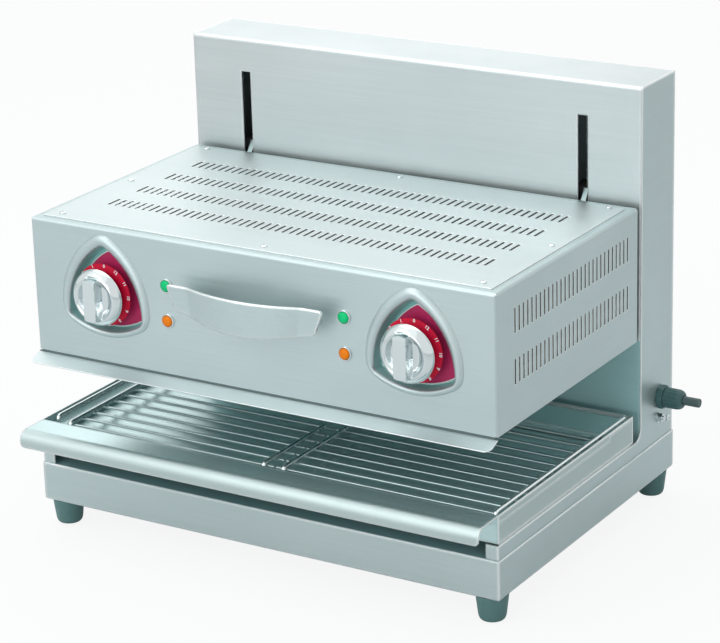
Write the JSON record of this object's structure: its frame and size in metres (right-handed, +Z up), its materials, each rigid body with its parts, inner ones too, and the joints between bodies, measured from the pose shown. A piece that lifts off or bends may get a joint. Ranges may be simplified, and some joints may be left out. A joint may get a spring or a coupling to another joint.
{
  "type": "lift salamander grill",
  "caption": "Stainless countertop salamander grill: a heated hood rides up and down a rear column over a drip tray with wire racks, with triangular control dials and a bowed handle.",
  "frame": {"origin": "on the floor under the middle of the case, width and depth (tray lip to case back)", "axes": "+X to the right as seen by the cook, -Y towards the cook (front), +Z up"},
  "size_m": [0.6522, 0.468, 0.511],
  "materials": {
    "stainless": "brushed stainless sheet, grain along the width",
    "tray_steel": "brushed stainless sheet",
    "inner_steel": "mill-finished steel",
    "polished_rod": "polished stainless rod and wire",
    "plated_fastener": "bright plated screws, nuts and rope ends",
    "chrome": "polished, slightly warm highlights",
    "dial_red": "satin crimson enamel with white numbers",
    "foot_rubber": "matt moulded rubber",
    "gland_plastic": "moulded nylon",
    "cable_sheath": "smooth rubber sheath",
    "cast_iron": "as-cast, unpainted",
    "brass": "machined brass",
    "moulded_white": "white steatite-look moulding",
    "insulation_wool": "mineral wool slab",
    "element_sheath": "heat-darkened tube",
    "green_lens": "ribbed translucent lens",
    "amber_lens": "ribbed translucent lens"
  },
  "bodies": {
    "stand": {"base_pan": "stainless", "left_side_panel": "stainless", "right_side_panel": "stainless", "column_front": "stainless", "rear_cover": "stainless", "case_screws": "plated_fastener", "feet": "foot_rubber", "foot_screws": "plated_fastener", "tray_runners": "tray_steel", "top_rail": "inner_steel", "guide_rods": "polished_rod", "weight_rods": "polished_rod", "rod_sockets": "cast_iron", "pulley_brackets": "inner_steel", "pulley_axles": "polished_rod", "lift_ropes": "polished_rod", "terminal_block": "moulded_white", "supply_cable": "cable_sheath", "gland_body": "gland_plastic", "gland_nut": "gland_plastic", "gland_lock_nut": "gland_plastic", "bonding_stud": "plated_fastener", "bonding_nut": "plated_fastener"},
    "hood": {"hood_shell": "stainless", "hood_back_panel": "stainless", "hood_top_cover": "stainless", "cover_plate_screws": "plated_fastener", "front_lip": "stainless", "reflector": "inner_steel", "insulation": "insulation_wool", "element_left": "element_sheath", "element_right": "element_sheath", "element_hangers": "inner_steel", "dial_cups": "chrome", "dial_plates": "dial_red", "regulators": "moulded_white", "lamp_bodies": "chrome", "green_lenses": "green_lens", "amber_lenses": "amber_lens", "handle": "chrome", "handle_legs": "chrome", "carriage": "cast_iron", "carriage_bushes": "brass", "lift_arms": "inner_steel", "arm_bolts": "plated_fastener", "carriage_rope_ends": "plated_fastener"},
    "counterweight": {"counterweight": "cast_iron", "weight_rope_ends": "plated_fastener"},
    "left_pulley": {"pulley_left": "cast_iron"},
    "right_pulley": {"pulley_right": "cast_iron"},
    "left_knob": {"knob_left": "chrome", "number_disc_left": "dial_red", "spindle_left": "brass"},
    "right_knob": {"knob_right": "chrome", "number_disc_right": "dial_red", "spindle_right": "brass"},
    "tray": {"drip_tray": "tray_steel", "rack_stop_rail": "polished_rod"},
    "left_rack": {"rack_left": "polished_rod"},
    "right_rack": {"rack_right": "polished_rod"}
  },
  "joints": [
    {"name": "hood_lift", "type": "slide", "parent": "stand", "child": "hood", "axis": [0, 0, 1], "range_m": [-0.06, 0.08], "deforming": ["lift_ropes"]},
    {"name": "weight_travel", "type": "slide", "parent": "stand", "child": "counterweight", "axis": [0, 0, 1], "range_m": [-0.08, 0.06]},
    {"name": "left_pulley_turn", "type": "hinge", "parent": "stand", "child": "left_pulley", "pos_m": [-0.12, 0.1915, 0.4748], "axis": [-1, 0, 0], "range_deg": [-200, 265]},
    {"name": "right_pulley_turn", "type": "hinge", "parent": "stand", "child": "right_pulley", "pos_m": [0.12, 0.1915, 0.4748], "axis": [-1, 0, 0], "range_deg": [-200, 265]},
    {"name": "left_knob_turn", "type": "hinge", "parent": "hood", "child": "left_knob", "pos_m": [-0.2, -0.1877, 0.297], "axis": [0, 1, 0], "range_deg": [0, 332]},
    {"name": "right_knob_turn", "type": "hinge", "parent": "hood", "child": "right_knob", "pos_m": [0.2, -0.1877, 0.297], "axis": [0, 1, 0], "range_deg": [0, 332]},
    {"name": "tray_pull", "type": "slide", "parent": "stand", "child": "tray", "axis": [0, -1, 0], "range_m": [0, 0.3]},
    {"name": "left_rack_lift", "type": "slide", "parent": "tray", "child": "left_rack", "axis": [0, 0, 1], "range_m": [0, 0.05]},
    {"name": "right_rack_lift", "type": "slide", "parent": "tray", "child": "right_rack", "axis": [0, 0, 1], "range_m": [0, 0.05]}
  ],
  "couplings": [
    {"joint": "weight_travel", "follows": "hood_lift", "ratio": -1},
    {"joint": "left_pulley_turn", "follows": "hood_lift", "rad_per_m": 57.143},
    {"joint": "right_pulley_turn", "follows": "hood_lift", "rad_per_m": 57.143}
  ]
}
